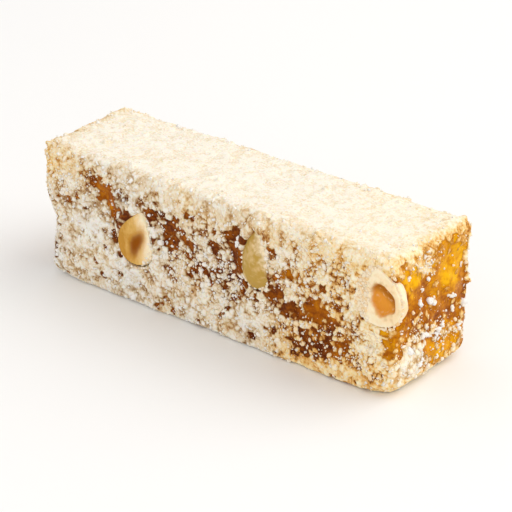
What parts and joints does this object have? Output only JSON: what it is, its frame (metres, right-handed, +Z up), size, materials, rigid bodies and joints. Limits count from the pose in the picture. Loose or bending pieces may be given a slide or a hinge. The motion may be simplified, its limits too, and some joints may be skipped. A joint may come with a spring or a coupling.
{
  "type": "turkish delight bar",
  "caption": "Rectangular bar of nut lokum: soft amber jelly with hazelnut kernels set in its cut sides, under a crust of sugar and starch.",
  "frame": {"origin": "middle of the base, on the surface that the bar lies on", "axes": "+X along the bar towards its golden end, +Y across it away from the long side with the corner kernel, +Z up"},
  "size_m": [0.0878, 0.027, 0.0295],
  "materials": {
    "sugared_jelly": "soft amber jelly under a dry white crust of sugar and starch",
    "hazelnut": "cream kernel flesh, dusted with starch"
  },
  "bodies": {
    "root": {"lokum_bar": "sugared_jelly", "hazelnut_front_left": "hazelnut", "hazelnut_front_middle": "hazelnut", "hazelnut_front_corner": "hazelnut", "hazelnut_back_right": "hazelnut", "hazelnut_back_middle": "hazelnut", "hazelnut_back_left": "hazelnut", "hazelnut_left_end": "hazelnut"}
  },
  "joints": []
}
